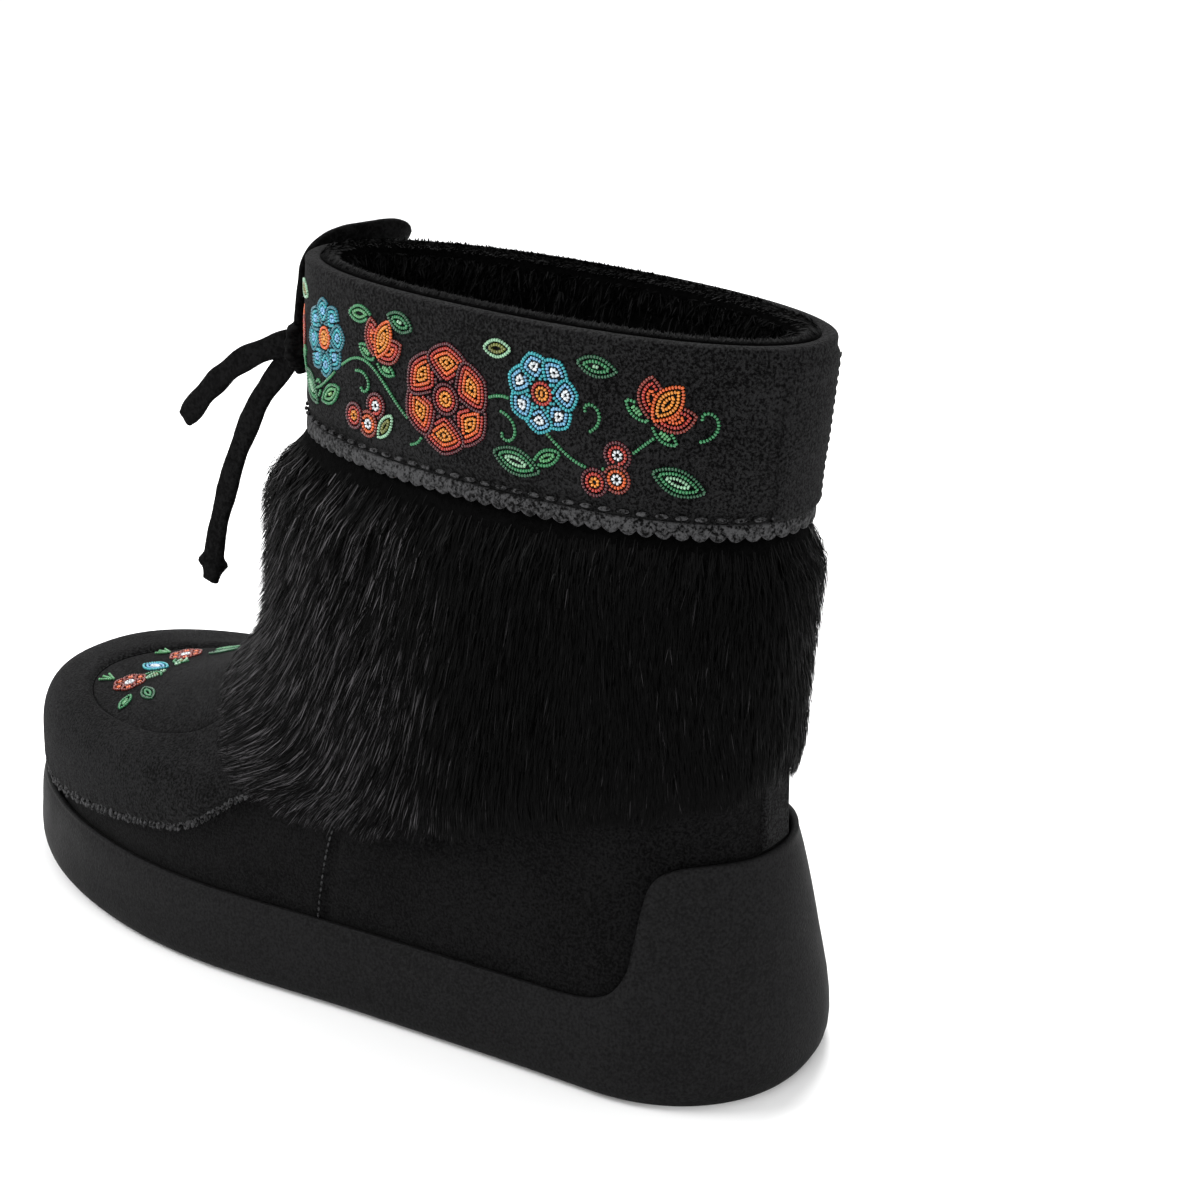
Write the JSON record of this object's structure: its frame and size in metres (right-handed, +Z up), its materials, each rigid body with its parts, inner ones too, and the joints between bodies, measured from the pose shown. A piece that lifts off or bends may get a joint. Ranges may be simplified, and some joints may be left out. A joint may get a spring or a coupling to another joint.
{
  "type": "mukluk boot",
  "caption": "Short black suede winter boot of the mukluk kind for the left foot, with a moulded rubber cupsole, a deep fur sleeve, a beaded cuff with a scalloped trim and a suede tie.",
  "frame": {"origin": "on the ground, below the middle of the boot's length and width", "axes": "+Z up, toe towards -Y, outer side of the left foot towards +X"},
  "size_m": [0.1069, 0.2761, 0.2034],
  "materials": {
    "rubber": "matte",
    "suede": "matte",
    "lining": "matte",
    "fur": "matte"
  },
  "bodies": {
    "root": {"outsole": "rubber", "insole": "lining", "upper": "suede", "vamp": "suede", "vamp_plug": "suede", "heel_strip": "suede", "fur_band": "fur", "cuff": "suede", "cuff_trim": "suede", "back_strip": "suede", "tie_knot": "suede", "tie_loop": "suede", "tie_end_broad": "suede", "tie_end_thin": "suede"}
  },
  "joints": []
}
